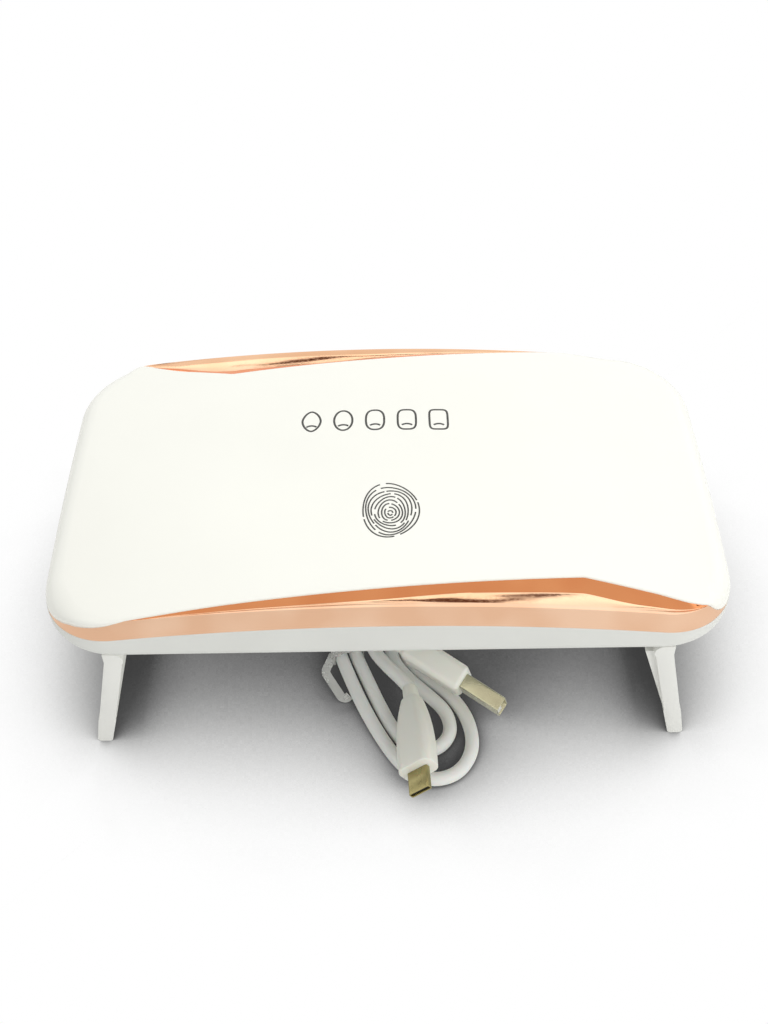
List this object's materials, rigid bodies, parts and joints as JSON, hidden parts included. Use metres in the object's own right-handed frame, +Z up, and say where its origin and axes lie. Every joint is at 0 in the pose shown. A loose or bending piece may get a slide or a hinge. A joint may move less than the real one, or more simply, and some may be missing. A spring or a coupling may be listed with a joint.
{
  "type": "uv led nail lamp",
  "caption": "Flat rounded nail-curing lamp with metallised edge trims, folding U legs and a lamp tray underneath, and its loose charging cable.",
  "frame": {"origin": "centre of the lamp's footprint, on the table, with the legs open", "axes": "+Z up, +X along the lamp's long side to the user's right, -Y towards the user"},
  "size_m": [0.19, 0.1353, 0.0632],
  "materials": {
    "cover_plastic": "glossy moulded ABS, warm white",
    "rose_gold_plating": "vacuum-metallised rose gold",
    "base_plastic": "satin moulded ABS, white",
    "leg_plastic": "moulded ABS, white",
    "pin_steel": "drawn steel",
    "screw_steel": "zinc-plated steel",
    "reflector_film": "aluminised plastic",
    "white_board": "white solder mask",
    "emitter_resin": "phosphor and silicone on ceramic",
    "lens_clear": "clear moulded lens",
    "green_board": "green solder mask",
    "black_plastic": "moulded nylon",
    "ferrite": "ferrite drum",
    "capacitor_can": "aluminium can",
    "spring_steel": "plated spring wire",
    "copper_foil": "copper foil disc",
    "socket_steel": "nickel-plated steel",
    "cable_jacket": "white soft PVC",
    "tie_film": "clear PVC twist tie",
    "plug_plastic": "white moulded PVC",
    "plug_steel": "nickel-plated steel, warm",
    "plug_core": "moulded insulator",
    "tongue_plastic": "white insulator",
    "contact_gold": "gold-flashed contacts"
  },
  "bodies": {
    "housing": {"top_cover": "cover_plastic", "front_trim": "rose_gold_plating", "rear_trim": "rose_gold_plating", "base_shell": "base_plastic", "hinge_brackets": "base_plastic", "left_hinge_pins": "pin_steel", "right_hinge_pins": "pin_steel", "housing_screws": "screw_steel", "led_board_screws": "screw_steel", "control_board_screws": "screw_steel", "reflector": "reflector_film", "led_board": "white_board", "led_emitters": "emitter_resin", "led_lenses": "lens_clear", "control_board": "green_board", "board_header": "black_plastic", "controller_chip": "black_plastic", "power_transistors": "black_plastic", "boost_inductor": "ferrite", "filter_capacitors": "capacitor_can", "touch_spring": "spring_steel", "touch_pad": "copper_foil", "micro_usb_socket": "socket_steel", "socket_tongue": "black_plastic"},
    "left_leg": {"left_leg": "leg_plastic"},
    "right_leg": {"right_leg": "leg_plastic"},
    "usb_cable": {"cable_hank": "cable_jacket", "cable_inner_loop": "cable_jacket", "cable_outer_loop": "cable_jacket", "cable_micro_lead": "cable_jacket", "cable_usb_lead": "cable_jacket", "cable_tie": "tie_film", "micro_usb_overmold": "plug_plastic", "micro_usb_strain_relief": "plug_plastic", "micro_usb_shell": "plug_steel", "micro_usb_core": "plug_core", "usb_a_overmold": "plug_plastic", "usb_a_strain_relief": "plug_plastic", "usb_a_shell": "plug_steel", "usb_a_tongue": "tongue_plastic", "usb_a_contacts": "contact_gold"}
  },
  "joints": [
    {"name": "right_leg_fold", "type": "hinge", "parent": "housing", "child": "right_leg", "pos_m": [0.0752, 0, 0.039], "axis": [0, 1, 0], "range_deg": [0, 100]},
    {"name": "left_leg_fold", "type": "hinge", "parent": "housing", "child": "left_leg", "pos_m": [-0.0752, 0, 0.039], "axis": [0, -1, 0], "range_deg": [0, 100]},
    {"name": "cable_draw", "type": "slide", "parent": "housing", "child": "usb_cable", "axis": [0, -1, 0], "range_m": [0, 0.15]}
  ]
}
